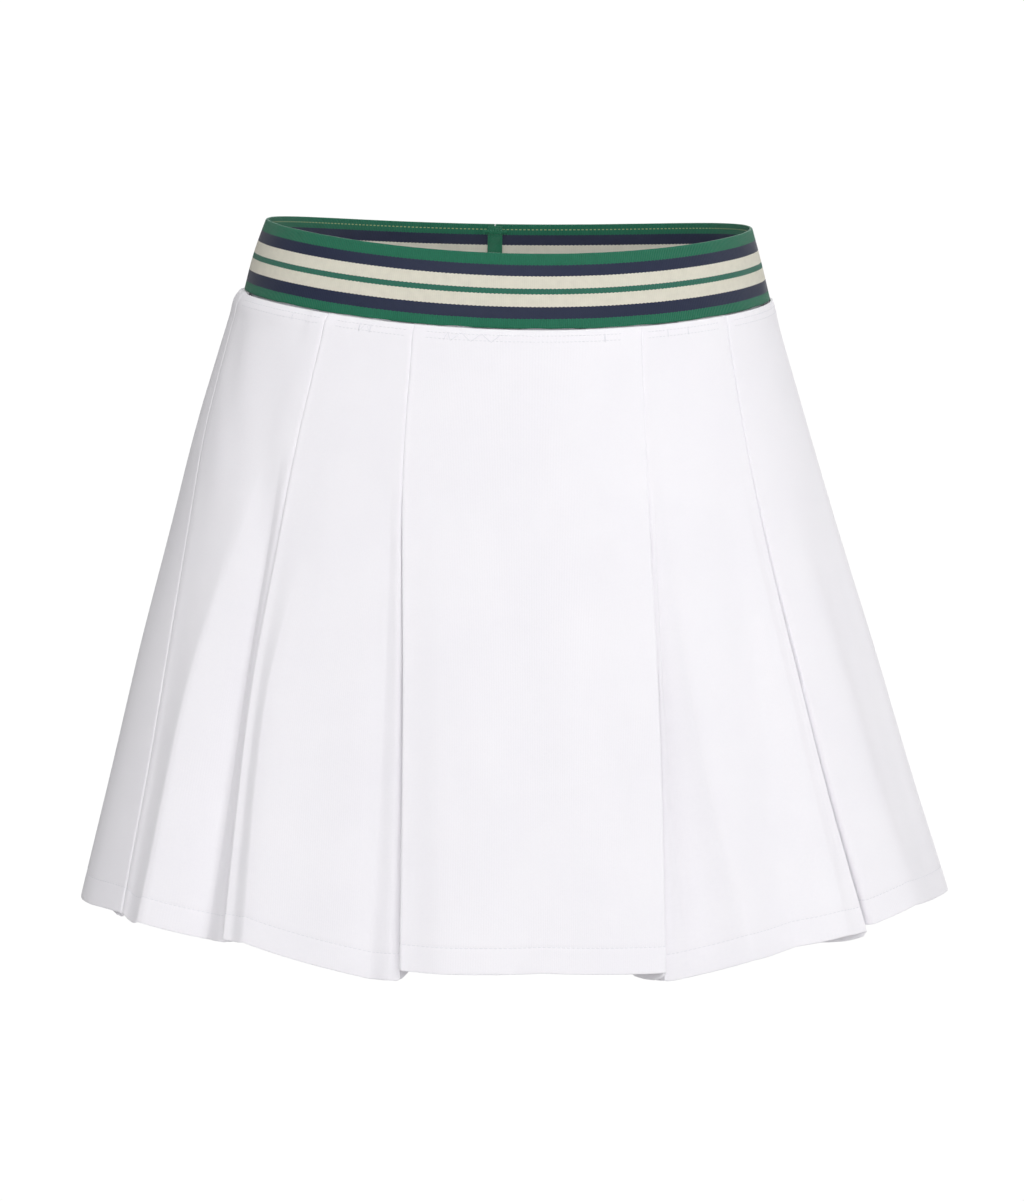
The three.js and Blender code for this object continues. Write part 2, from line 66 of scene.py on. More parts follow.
FLOOR_Z = -0.9
FLOOR_SIZE = 60.0
SURROUND = 0.2  # strength of the light from all round
BACKDROP = 1.1  # how bright the studio and its floor look behind the part
FLOOR_GLOW = 1.02


def table(columns, rows):
    """A short table: the names of its columns, and a row of values on each line."""
    return [dict(zip(columns.split(), row)) for row in rows]


LAMPS = table(
    "name place size watts",
    [
        ("front", (0.2, -3.8, 0.8), 2.2, 67),
        ("left", (-2.2, -2.2, 0.6), 1.6, 19),
        ("top", (0.0, -0.6, 2.6), 2, 28),
        ("side", (3.0, -0.3, 0.5), 1.5, 30),
        ("back", (0.6, 3.6, 0.9), 2.2, 44),
    ],
)


def show_apart(tree, lit, seen, output):
    """Joins two shaders: one that gives and takes the light, and one that only the camera sees."""
    rays = tree.nodes.new("ShaderNodeLightPath")
    choose = tree.nodes.new("ShaderNodeMixShader")
    tree.links.new(rays.outputs["Is Camera Ray"], choose.inputs[0])
    tree.links.new(lit.outputs[0], choose.inputs[1])
    tree.links.new(seen.outputs[0], choose.inputs[2])
    tree.links.new(choose.outputs[0], tree.nodes[output].inputs["Surface"])


world = bpy.data.worlds.new("studio")
bpy.context.scene.world = world
world.use_nodes = True
background = world.node_tree.nodes["Background"]
backdrop = world.node_tree.nodes.new("ShaderNodeBackground")
for light, strength in ((background, SURROUND), (backdrop, BACKDROP)):
    light.inputs["Color"].default_value = (1.0, 1.0, 1.0, 1.0)
    light.inputs["Strength"].default_value = strength
show_apart(world.node_tree, background, backdrop, "World Output")

for lamp in LAMPS:
    light_data = bpy.data.lights.new(lamp["name"], "AREA")
    light_data.size = lamp["size"]
    light_data.energy = lamp["watts"]
    light = bpy.data.objects.new(lamp["name"], light_data)
    bpy.context.scene.collection.objects.link(light)
    light.location = lamp["place"]
    light.rotation_euler = (light.location - AIM).to_track_quat("Z", "Y").to_euler()

floor_mesh = bpy.data.meshes.new("floor")
reach = FLOOR_SIZE / 2
floor_corners = [(-reach, -reach), (reach, -reach), (reach, reach), (-reach, reach)]
floor_mesh.from_pydata([(x, y, FLOOR_Z) for x, y in floor_corners], [], [(0, 1, 2, 3)])
floor = bpy.data.objects.new("floor", floor_mesh)
bpy.context.scene.collection.objects.link(floor)
floor_finish = bpy.data.materials.new("floor_white")
floor_finish.use_nodes = True
floor_paint = floor_finish.node_tree.nodes["Principled BSDF"]
floor_paint.inputs["Base Color"].default_value = (0.6, 0.6, 0.6, 1.0)
floor_paint.inputs["Roughness"].default_value = 0.9
floor_glow = floor_finish.node_tree.nodes.new("ShaderNodeEmission")
floor_glow.inputs["Strength"].default_value = FLOOR_GLOW
show_apart(floor_finish.node_tree, floor_paint, floor_glow, "Material Output")
floor_mesh.materials.append(floor_finish)

bpy.context.scene.view_settings.view_transform = "Standard"

# ---------------------------------------------------------------- elastic waistband
# A woven elastic, 40 mm wide, striped green, navy and cream, stretched a little round the waist. It is
# one strip joined at the centre back. It leans outwards to the hips, and the knit is sewn to its edge.

BAND_HEIGHT = 40.0
BAND_WALL = 1.5
BAND_DIP = 4.4  # the waist line is this much lower at the front and back, and higher at the sides
BAND_TILT = 3.2  # and this much higher on the wearer's right hip than level
BAND_ROWS = table(
    "down right_hip left_hip front back",
    [
        (0.0, 131.5, 132.0, 90.0, 90.0),
        (20.0, 138.0, 137.0, 93.5, 94.0),
        (40.0, 143.5, 142.0, 97.0, 98.0),
    ],
)
SEAM_GAP = 0.4
MM = 0.001


def smoothstep(x, low=0.0, high=1.0):
    """0 below low, 1 above high, and a smooth ramp between."""
    t = np.clip((np.asarray(x, float) - low) / (high - low), 0.0, 1.0)
    return t * t * (3.0 - 2.0 * t)


def curve_through(xs, ys):
    """A smooth curve through a table's (x, y) pairs, with slopes taken from the neighbouring rows."""
    xs, ys = np.array(xs, float), np.array(ys, float)
    secants = np.diff(ys) / np.diff(xs)
    slopes = np.concatenate([secants[:1], (secants[:-1] + secants[1:]) / 2, secants[-1:]])

    def curve(x):
        k = np.clip(np.searchsorted(xs, x) - 1, 0, len(secants) - 1)
        width = xs[k + 1] - xs[k]
        s = np.clip((x - xs[k]) / width, 0.0, 1.0)
        rise = ys[k + 1] - ys[k]
        bend = (1 - s) * (slopes[k] * width - rise) + s * (rise - slopes[k + 1] * width)
        return ys[k] + s * rise + s * (1 - s) * bend

    return curve


def plan_sizes(rows, column):
    """Reads a table of plan half-sizes as a function of one of its columns."""
    at = [row[column] for row in rows]
    names = [name for name in rows[0] if name != column]
    sides = {name: curve_through(at, [row[name] for row in rows]) for name in names}
    return lambda x: {name: side(x) for name, side in sides.items()}


def plan_point(size, angle):
    """Points of an egg-shaped plan at angles, their outward normals, and the length per degree there."""
    turn = np.radians(angle)
    sin, cos = np.sin(turn), np.cos(turn)
    across = np.where(sin < 0, size["right_hip"], size["left_hip"])
    deep = np.where(cos < 0, size["back"], size["front"])
    speed = np.hypot(across * cos, deep * sin)
    point = np.stack([across * sin, -deep * cos], axis=-1)
    normal = np.stack([deep * sin / speed, -across * cos / speed], axis=-1)
    return point, normal, np.radians(speed)


def waist_lift(angle):
    """How far the waist line lies above its mean height."""
    return -BAND_DIP * np.cos(np.radians(2 * angle)) - BAND_TILT * np.sin(np.radians(angle))


band_sizes = plan_sizes(BAND_ROWS, "down")


def band_height(angle, down):
    """The waistband leans outwards on its way down, so it stands a little less tall than its width."""
    top = plan_point(band_sizes(0.0), angle)[0]
    bottom = plan_point(band_sizes(BAND_HEIGHT), angle)[0]
    tall = np.sqrt(BAND_HEIGHT**2 - ((top - bottom) ** 2).sum(-1))
    return waist_lift(angle) + tall * (0.5 - down / BAND_HEIGHT)


def band_point(angle, down, out):
    """Points of the waistband's outer face, moved out by "out"."""
    point, normal, _ = plan_point(band_sizes(down), angle)
    plan = point + np.asarray(out)[..., None] * normal
    return np.concatenate([plan, np.asarray(band_height(angle, down))[..., None]], axis=-1)


def cloth_object(name, outer, inner, cloth, material):
    """
    A closed wall between two grids of points in mm, whose rows run downwards and columns with the angle.
    "cloth" holds each grid point's place on the flat cloth: mm along it and mm down it. The mesh keeps
    it as the attribute "cloth", with 0 on the outer face and 1 on the inner one as its third number.
    """
    rows, columns = outer.shape[:2]
    count = rows * columns
    points = np.concatenate([outer.reshape(-1, 3), inner.reshape(-1, 3)]) * MM
    grid = np.arange(count).reshape(rows, columns)
    a, b, c, d = grid[:-1, :-1], grid[1:, :-1], grid[1:, 1:], grid[:-1, 1:]
    quads = [np.stack([a, b, c, d], -1).reshape(-1, 4)]
    quads.append(np.stack([a, d, c, b], -1).reshape(-1, 4) + count)
    top, foot = grid[0], grid[-1]
    quads.append(np.stack([top[:-1] + count, top[:-1], top[1:], top[1:] + count], -1))
    quads.append(np.stack([foot[:-1], foot[:-1] + count, foot[1:] + count, foot[1:]], -1))
    start, end = grid[:, 0], grid[:, -1]
    quads.append(np.stack([start[:-1], start[:-1] + count, start[1:] + count, start[1:]], -1))
    quads.append(np.stack([end[:-1] + count, end[:-1], end[1:], end[1:] + count], -1))
    mesh = bpy.data.meshes.new(name)
    mesh.from_pydata(points.tolist(), [], np.concatenate(quads).tolist())
    place = mesh.attributes.new("cloth", "FLOAT_VECTOR", "POINT")
    flat = cloth.reshape(-1, 2)
    side = np.repeat([0.0, 1.0], count)[:, None]
    places = np.concatenate([np.tile(flat, (2, 1)), side], 1)
    place.data.foreach_set("vector", places.astype(np.float32).ravel())
    mesh.shade_smooth()
    mesh.set_sharp_from_angle(angle=math.radians(60))
    mesh.materials.append(material)
    made = bpy.data.objects.new(name, mesh)
    bpy.context.scene.collection.objects.link(made)
    return made


class Value:
    """A number that varies over a surface. Arithmetic on it adds Math nodes to its finish."""

    def __init__(self, finish, socket):
        self.finish = finish
        self.socket = socket

    def math(self, operation, *values):
        return self.finish.node("ShaderNodeMath", {"operation": operation}, *values)

    def __add__(self, other):
        return self.math("ADD", self, other)

    __radd__ = __add__

    def __sub__(self, other):
        return self.math("SUBTRACT", self, other)

    def __rsub__(self, other):
        return self.math("SUBTRACT", other, self)

    def __mul__(self, other):
        return self.math("MULTIPLY", self, other)

    __rmul__ = __mul__

    def __truediv__(self, other):
        return self.math("DIVIDE", self, other)

    def wave(self, pitch):
        """1 and -1 once in every pitch."""
        return self.math("SINE", self * (2 * math.pi / pitch))

    def smooth(self, low, high):
        """0 below low, 1 above high, and a smooth ramp between."""
        settings = {"interpolation_type": "SMOOTHSTEP"}
        return self.finish.node("ShaderNodeMapRange", settings, self, low, high, 0.0, 1.0)


def socket_name(name):
    """A shader's socket from the name that it goes by here: specular_ior_level is Specular IOR Level."""
    return name.replace("_", " ").title().replace("Ior", "IOR")


class Finish:
    """A material, with its Principled shader and one method that adds any node to it."""

    def __init__(self, name, **shader):
        self.material = bpy.data.materials.new(name)
        self.material.use_nodes = True
        self.tree = self.material.node_tree
        self.shader = self.tree.nodes["Principled BSDF"]
        for name, value in shader.items():
            self.feed(self.shader.inputs[socket_name(name)], value)

    def node(self, kind, settings, *values, output=0, **named):
        made = self.tree.nodes.new(kind)
        for name, setting in settings.items():
            if name == "stops":
                self.set_stops(made.color_ramp, setting)
            elif name == "ramp":
                made.color_ramp.interpolation = setting
            else:
                setattr(made, name, setting)
        sockets = [socket for socket in made.inputs if socket.enabled]
        for socket, value in zip(sockets, values):
            self.feed(socket, value)
        for name, value in named.items():
            self.feed(made.inputs[socket_name(name)], value)
        outputs = [socket for socket in made.outputs if socket.enabled]
        return Value(self, outputs[output])

    def set_stops(self, ramp, stops):
        while len(ramp.elements) < len(stops):
            ramp.elements.new(1.0)
        for element, (at, colour) in zip(ramp.elements, stops):
            element.position = at
            element.color = (*colour, 1.0)

    def feed(self, socket, value):
        if isinstance(value, Value):
            self.tree.links.new(value.socket, socket)
        elif isinstance(value, tuple) and socket.type == "RGBA":
            socket.default_value = (*value, 1.0)
        else:
            socket.default_value = value

    def cloth_place(self):
        """Millimetres along the cloth, millimetres down it, and 0 on its outer face or 1 on its inner."""
        place = self.node("ShaderNodeAttribute", {"attribute_name": "cloth"}, output=1)
        parts = [self.node("ShaderNodeSeparateXYZ", {}, place, output=k) for k in range(3)]
        return place, *parts

    def noise(self, place, scale, detail=2.0):
        """Soft mottling from 0 to 1, as many patches to the millimetre as "scale"."""
        return self.node("ShaderNodeTexNoise", {}, Vector=place, Scale=scale, Detail=detail)

    def mix(self, share, first, second):
        """A colour between two others."""
        settings = {"data_type": "RGBA"}
        return self.node("ShaderNodeMix", settings, share, first, second)

    def bump(self, height, distance, strength=1.0):
        """Raises the surface by height times distance, in metres."""
        self.feed(
            self.shader.inputs["Normal"],
            self.node("ShaderNodeBump", {}, Height=height, Distance=distance, Strength=strength),
        )


def colour(red, green, blue):
    """A colour given as a screen shows it, 0 to 255, as the shader takes it."""
    shares = [part / 255 for part in (red, green, blue)]
    return tuple(s / 12.92 if s < 0.04045 else ((s + 0.055) / 1.055) ** 2.4 for s in shares)


GREEN = colour(17, 112, 82)
NAVY = colour(26, 36, 66)
CREAM = colour(232, 228, 212)
# From the top edge down: where each starts, as a share of the band, its yarn and how dull it is.
STRIPES = table(
    "from yarn roughness",
    [
        (0.0, GREEN, 0.62),
        (0.149, NAVY, 0.5),
        (0.298, CREAM, 0.8),
        (0.462, colour(40, 112, 92), 0.62),
        (0.537, CREAM, 0.8),
        (0.706, NAVY, 0.5),
        (0.866, GREEN, 0.62),
    ],
)
RIB_PITCH = 1.1  # of the elastic's fine upright ribs
PICK_PITCH = 0.55  # between the yarns that run along it


def make_elastic():
    """Ribbed green, satin navy and flat cream yarns, whose borders step from rib to rib."""
    elastic = Finish("striped_elastic", roughness=0.6, specular_ior_level=0.35, sheen_weight=0.15)
    place, along, down, inside = elastic.cloth_place()
    rib = along.wave(RIB_PITCH)
    border = down + 0.12 * along.wave(2 * RIB_PITCH) + 0.1 * (elastic.noise(place, 0.9) - 0.5)
    share = border / BAND_HEIGHT
    yarns = [(row["from"], row["yarn"]) for row in STRIPES]
    gloss = [(row["from"], (row["roughness"],) * 3) for row in STRIPES]
    ribbed = [(row["from"], (0.2 if row["yarn"] in (NAVY, CREAM) else 1.0,) * 3) for row in STRIPES]
    yarn = elastic.node("ShaderNodeValToRGB", {"ramp": "CONSTANT", "stops": yarns}, share)
    roughness = elastic.node("ShaderNodeValToRGB", {"ramp": "CONSTANT", "stops": gloss}, share)
    ribs = elastic.node("ShaderNodeValToRGB", {"ramp": "CONSTANT", "stops": ribbed}, share)
    pick = down.wave(PICK_PITCH)
    worn = elastic.noise(place, 0.25, 4.0)
    # The rib and pick waves paint shade into the grooves between the ribs and between the cross yarns: the
    # colour darkens where the bump sinks. The worn noise adds a random mottling on top.
    shade = 0.84 + 0.1 * rib * ribs + 0.04 * pick + 0.2 * worn
    dark = elastic.mix(0.45, yarn, (0.0, 0.0, 0.0))
    woven = elastic.mix(shade.smooth(0.5, 1.08), dark, yarn)
    row = down.smooth(2.7, 2.9) * (1.0 - down.smooth(3.2, 3.4)) * inside
    thread = 0.75 * (row * along.wave(2.4).smooth(-0.6, 0.2))
    sewn = elastic.mix(thread, woven, colour(196, 208, 150))
    elastic.feed(elastic.shader.inputs["Base Color"], sewn)
    elastic.feed(elastic.shader.inputs["Roughness"], roughness)
    elastic.bump(0.5 + 0.4 * rib * ribs + 0.25 * pick, 0.00022)
    return elastic.material


def make_waistband():
    """The outer face swells a little between the woven edges, and the lower edge waves as it is sewn."""
    edge = 0.5  # how far in from each edge the rounding starts
    top = np.array([0.0, 0.15, edge])
    downs = np.concatenate([top, np.linspace(1.5, BAND_HEIGHT - 1.5, 26), (BAND_HEIGHT - top)[::-1]])
    angles = np.linspace(-179.9, 179.9, 481)
    _, _, per_degree = plan_point(band_sizes(BAND_HEIGHT / 2), angles)
    along = np.concatenate([[0.0], np.cumsum((per_degree[1:] + per_degree[:-1]) / 2 * np.diff(angles))])
    wobble = 0.22 * np.sin(along / 7.3) + 0.16 * np.sin(along / 3.1 + 1.0)
    outer, inner = [], []
    for down in downs:
        from_edge = min(down, BAND_HEIGHT - down)
        round_off = 0.55 * (1 - math.sqrt(max(0.0, 1 - (1 - min(from_edge / edge, 1.0)) ** 2)))
        swell = 0.35 * math.sin(math.pi * down / BAND_HEIGHT)
        ripple = 0.1 * np.sin(along / 4.7 + 0.08 * down)
        low = smoothstep(down, BAND_HEIGHT - 8, BAND_HEIGHT)
        for rows, out in ((outer, swell - round_off + ripple), (inner, round_off - BAND_WALL + ripple)):
            face = band_point(angles, down, out)
            face[:, 2] += low * np.maximum(wobble, -0.1) * 0.8
            rows.append(face)
    cloth = np.stack(np.broadcast_arrays(along[None, :], downs[:, None]), -1)
    return cloth_object("elastic_waistband", np.array(outer), np.array(inner), cloth, make_elastic())


waistband = make_waistband()
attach(waistband, "root")
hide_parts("waistband")

# ---------------------------------------------------------------- tape over the band's join
# A narrow tape of the band's green, its edges turned under, sewn down the inside of the centre back, over the
# cut ends of the elastic. A wider bar of close stitches holds its top.

TAPE_WIDTH = 8.0
TAPE_WALL = 0.8
TAPE_CLEAR = 1.0  # left bare at the band's top and bottom edges
BAR_WIDTH = 13.0
BAR_DOWN = 4.6  # from the band's top edge to the middle of the bar
BAR_TALL = 3.2


def make_tape_finish():
    tape = Finish("green_tape", roughness=0.42, specular_ior_level=0.5, sheen_weight=0.2)
    place, along, down, _ = tape.cloth_place()
    twill = (along + 0.6 * down).wave(0.8)
    # Painted shade: the twill wave darkens the green in the twill's grooves, where its bump sinks, over a
    # random mottling.
    shade = tape.noise(place, 0.5, 3.0) * 0.5 + 0.25 * twill + 0.25
    tape.feed(tape.shader.inputs["Base Color"], tape.mix(shade, colour(8, 86, 60), colour(24, 138, 98)))
    tape.bump(twill, 0.00012)
    return tape.material


def make_join_tape():
    downs = np.linspace(TAPE_CLEAR, BAND_HEIGHT - TAPE_CLEAR, 34)
    across = np.linspace(-1.0, 1.0, 15)
    _, _, per_degree = plan_point(band_sizes(0.0), 180.0)
    angles = 180 + across * TAPE_WIDTH / 2 / per_degree
    under = -BAND_WALL - SEAM_GAP + 0.15
    bulge = TAPE_WALL + 0.55 * np.sqrt(1 - across**2 * 0.98)
    outer = np.array([band_point(angles, down, np.full(15, under)) for down in downs])
    inner = [band_point(angles, down, under - bulge - 0.12 * math.sin(down * 0.9)) for down in downs]
    cloth = np.stack(np.broadcast_arrays(across[None, :] * TAPE_WIDTH / 2, downs[:, None]), -1)
    return cloth_object("join_tape", outer, np.array(inner), cloth, make_tape_finish())


def tubes_object(name, paths, radius, material, sides=6):
    """Short threads as thin tubes along paths of points in mm, pointed at their two ends, in one mesh."""
    points, faces = [], []
    turns = np.linspace(0, 2 * np.pi, sides, endpoint=False)
    for path in paths:
        path = np.asarray(path, float)
        along = np.gradient(path, axis=0)
        along /= np.linalg.norm(along, axis=1, keepdims=True)
        beside = np.cross(along, np.where(abs(along[:, 2:3]) > 0.9, [[1.0, 0.0, 0.0]], [[0.0, 0.0, 1.0]]))
        beside /= np.linalg.norm(beside, axis=1, keepdims=True)
        across = np.cross(along, beside)
        widths = radius * np.ones(len(path))
        widths[[0, -1]] = 0.35 * radius
        first = len(points)
        for centre, width, u, v in zip(path, widths, beside, across):
            for turn in turns:
                points.append(centre + width * (math.cos(turn) * u + math.sin(turn) * v))
        for ring in range(len(path) - 1):
            a = first + ring * sides
            for k in range(sides):
                faces.append((a + k, a + (k + 1) % sides, a + sides + (k + 1) % sides, a + sides + k))
        faces.append(tuple(first + k for k in reversed(range(sides))))
        faces.append(tuple(first + (len(path) - 1) * sides + k for k in range(sides)))
    mesh = bpy.data.meshes.new(name)
    mesh.from_pydata((np.array(points) * MM).tolist(), [], faces)
    mesh.shade_smooth()
    mesh.materials.append(material)
    made = bpy.data.objects.new(name, mesh)
    bpy.context.scene.collection.objects.link(made)
    return made


def make_tape_bar():
    """The bar's threads go up and down across the tape, side by side."""
    _, _, per_degree = plan_point(band_sizes(0.0), 180.0)
    count = 19
    paths = []
    for k in range(count):
        across = (k / (count - 1) - 0.5) * BAR_WIDTH
        over_tape = TAPE_WALL + 0.75 if abs(across) < TAPE_WIDTH / 2 + 0.2 else 0.1
        out = -BAND_WALL - 0.25 - over_tape
        lean = 0.3 if k % 2 else -0.3
        ends = [(across - lean, BAR_DOWN - BAR_TALL / 2), (across + lean, BAR_DOWN + BAR_TALL / 2)]
        steps = np.linspace(0, 1, 5)
        path = []
        for s in steps:
            sideways = ends[0][0] * (1 - s) + ends[1][0] * s
            down = ends[0][1] * (1 - s) + ends[1][1] * s
            path.append(band_point(180 + sideways / per_degree, down, out - 0.2 * math.sin(math.pi * s)))
        paths.append(path)
    return tubes_object("tape_bar", paths, 0.36, join_tape.data.materials[0])


join_tape = make_join_tape()
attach(join_tape, "root")
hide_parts("band_tape")
tape_bar = make_tape_bar()
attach(tape_bar, "root")


# ---------------------------------------------------------------- pleated skirt
# A smooth white stretch knit, cut as a front and a back and joined inside the side pleats. Ten knife
# pleats are pressed in, stitched down from the waist for 75 mm and loose below, where they swing open.

SKIRT_LENGTH = 340.0
STITCHED = 75.0
PLEAT_TUCK = 29.0  # from a pleat's outer crease to its inner one
KNIT = 1.0  # the cloth's thickness
LAYER = 1.7  # from one folded layer to the next, where the pleats hang open
PRESSED = 1.35  # and where they are pressed and stitched down
WELT = 0.3  # how far the cloth stands up along a pressed crease that faces the wearer's right
SPREAD = 2.4  # how much further apart a pleat's hidden layers hang at the hem
FULL_SWING = 24.0  # from this much inward, a pleat hangs quite open
PANEL_END = 3.2  # a pleat's own stations start this far before its crease
SHARPEST = 0.45  # a corner's mitre is no longer than this allows
HEM_DEPTH = 14.0  # the turned-up hem, sewn along its top
HEM_STEP = 0.3  # the turned-up layer's thickness inside
HEM_ROUND = 0.6  # how far up from the hem its edge is rounded
SIDE_SEAM_GAP = 0.6
PUCKER = 0.3

# Plan half-sizes of the skirt before its folds.
SKIRT_ROWS = table(
    "drop right_hip left_hip front back",
    [
        (0.0, 144.0, 141.0, 97.5, 98.5),
        (5.0, 147.0, 142.5, 98.5, 99.5),
        (14.0, 149.5, 144.5, 100.0, 101.5),
        (34.0, 155.5, 150.0, 103.0, 106.0),
        (75.0, 167.5, 161.5, 109.5, 114.5),
        (130.0, 181.0, 177.0, 118.5, 125.0),
        (200.0, 199.0, 197.5, 129.5, 135.5),
        (270.0, 215.5, 217.0, 140.0, 144.0),
        (340.0, 232.5, 237.5, 151.0, 153.0),
    ],
)

# The pleats in order round the waist. "under" is +1 where the cloth beyond the crease, at larger angles,
# runs under it, and -1 where the cloth before it does. The angles are the outer crease's at the seam,
# at the end of the stitching, at mid length and at the hem. At the hem the inner crease has swung
# "inward", the cloth beneath has sunk by "gape", and the cloth hangs longer at the crease ("over"), in
# the hidden layers ("inside") and where the cloth comes out beneath ("below").
PLEATS = table(
    "name under seam release mid hem inward gape over inside below",
    [
        ("back_right_inner", 1, -155, -155.5, -158.5, -162, 26, 3, 4, 6, 6),
        ("back_right_outer", 1, -131, -132, -131.5, -131, 25, 5, 0, 2, -2),
        ("side_right", 1, -83, -78.5, -70, -66.5, 7, 0, 1, 4, 1),
        ("front_right_outer", -1, -44.6, -45.6, -46.3, -44, 27.8, 3, -2, -3, 0),
        ("front_right_inner", -1, -23.5, -22.6, -19.5, -17.5, 27, 4, 2, -4, 8),
        ("front_left_inner", 1, 26, 23.3, 20.3, 17.2, 28.2, 3, 3, 7, 8),
        ("front_left_outer", 1, 50.9, 48.3, 48.4, 50.6, 23, 4, 0, 4, -3),
        ("side_left", -1, 94, 95, 96.5, 98, 8, 0, 1, 3, 1),
        ("back_left_outer", -1, 131, 132, 133, 135, 24, 6, 0, 2, -3),
        ("back_left_inner", -1, 155, 156, 159, 161.5, 25, 4, 4, 6, 7),
    ],
)
PLEATS = {pleat["name"]: pleat for pleat in PLEATS}

# The soft folds of each panel, in order, each with the pleat that its panel starts after. A fold has
# its angles as a pleat has, how far it stands out (or, below zero, sinks in) at mid length and at the
# hem, how much longer the cloth hangs there, and how crisp its crest is (0 is a soft wave).
FOLDS = table(
    "after seam release mid hem out_mid out_hem longer crisp",
    [
        ("side_right", -51, -53.5, -60, -60.5, 4, 5, 1, 1),
        ("side_right", -48.4, -49, -50, -50, -6, -9, 1, 0.4),
        ("front_right_outer", -37, -38, -42.3, -40, 2.5, 3.5, -2, 0.3),
        ("front_right_outer", -25.5, -24.8, -23.2, -22.6, -4, -7, 8, 0.5),
        ("front_right_inner", -15.5, -15, -14, -12, 2, 4, 2, 0.4),
        ("front_right_inner", 3.5, 3, 2, 1, 0, 0, 0, 0),
        ("front_left_inner", 27.5, 24.6, 22, 21.5, -1, -3, 7, 0),
        ("front_left_inner", 30, 26.5, 26.2, 29.8, 4, 6, 3, 1),
        ("front_left_inner", 42.5, 40.5, 39.5, 37.5, -2, -4, -1, 0),
        ("front_left_inner", 47.5, 45, 45, 46, 1, 2, -1, 0),
        ("front_left_outer", 59, 57, 59, 62, 1, 2, -5, 0),
        ("front_left_outer", 69, 68, 70, 73, -1, -1.5, -2, 0),
        ("front_left_outer", 82, 82, 83, 85, 0.5, 1.5, 0, 0),
        ("side_left", 115, 115, 116, 117, -1.5, -3.5, -2, 0),
        ("side_left", 126.5, 127, 126, 126, 2.5, 5, 0, 0),
        ("back_left_outer", 151, 152, 153, 154, 2, 4, 3, 0),
        ("back_left_inner", 170, 170, 172, 173, 0.5, 1.5, 1, 0),
        ("back_left_inner", 186, 186, 187, 188, -0.5, -1.5, 0, 0),
        ("back_right_inner", -152, -152.5, -151.5, -152, 2, 4, 4, 0),
        ("back_right_outer", -128, -129, -124, -120, 2.5, 5, 1, 0),
        ("back_right_outer", -108, -108, -104, -100, -1.5, -4, -1, 0),
        ("back_right_outer", -91, -90, -86, -82, 1, 3, 2, 0),
    ],
)

# The panels, each between two pleats: the front's five from the right side pleat, then the back's five.
first_pleat = list(PLEATS).index("side_right")
pleats_round = [*PLEATS, *PLEATS][first_pleat : first_pleat + len(PLEATS) + 1]
PANELS = [
    {"from": start, "to": end, "folds": [fold for fold in FOLDS if fold["after"] == start]}
    for start, end in zip(pleats_round, pleats_round[1:])
]

# Soft creases that the cloth has taken besides: each runs from one angle and drop to another, and is a
# ridge, or below zero a trough, with a width and a height in mm.
CREASES = table(
    "start end wide high",
    [
        ((-77, 8), (-62, 95), 6, -0.9),
        ((-70, 4), (-66, 120), 9, 0.8),
        ((-58, 10), (-50, 150), 8, -0.9),
        ((-41, 70), (-37, 250), 9, -0.9),
        ((-29, 90), (-31, 320), 7, 0.9),
        ((-9, 140), (-5, 335), 15, 1),
        ((10, 60), (12, 300), 13, -0.9),
        ((33, 70), (34, 330), 8, 1.1),
        ((36, 2), (44, 60), 8, -0.5),
        ((64, 110), (66, 335), 9, -1.2),
        ((77, 60), (79, 320), 8, 1.2),
        ((94, 10), (97, 200), 9, -1),
        ((107, 60), (109, 330), 9, 1.2),
        ((120, 6), (118, 160), 8, -0.9),
        ((144, 80), (146, 320), 7, -1.1),
        ((164, 40), (166, 300), 10, 0.9),
        ((178, 100), (180, 335), 12, -1.2),
        ((193, 30), (194, 280), 10, 1),
        ((-143, 70), (-142, 330), 7, -1.1),
        ((-118, 40), (-112, 330), 9, 1.3),
        ((-98, 8), (-95, 210), 8, -1),
    ],
)

skirt_sizes = plan_sizes(SKIRT_ROWS, "drop")
FOLD_STATIONS = [STITCHED, 200.0, SKIRT_LENGTH]
ARC_STEPS = 6  # round each crease
RETURN_STEPS = 9  # along each hidden layer
FOLD_STEPS = 9  # from one soft fold to the next


def opening(drop):
    """How far the pleats and folds have opened: 0 down to the end of the stitching, 1 at the hem."""
    return min(max((drop - STITCHED) / (SKIRT_LENGTH - STITCHED), 0.0), 1.0)


for row in [*PLEATS.values(), *FOLDS]:
    row["angle"] = curve_through([0.0, *FOLD_STATIONS], [row["seam"], row["release"], row["mid"], row["hem"]])
for fold in FOLDS:
    fold["out"] = curve_through(FOLD_STATIONS, [0.0, fold["out_mid"], fold["out_hem"]])


def arc(centre, start, radius, from_turn, to_turn, steps):
    """Points round part of a circle; turns are in degrees from the +x axis, "start" is left out."""
    turns = np.radians(np.linspace(from_turn, to_turn, steps + 1)[start:])
    return [centre + radius * np.array([math.cos(t), math.sin(t)]) for t in turns]


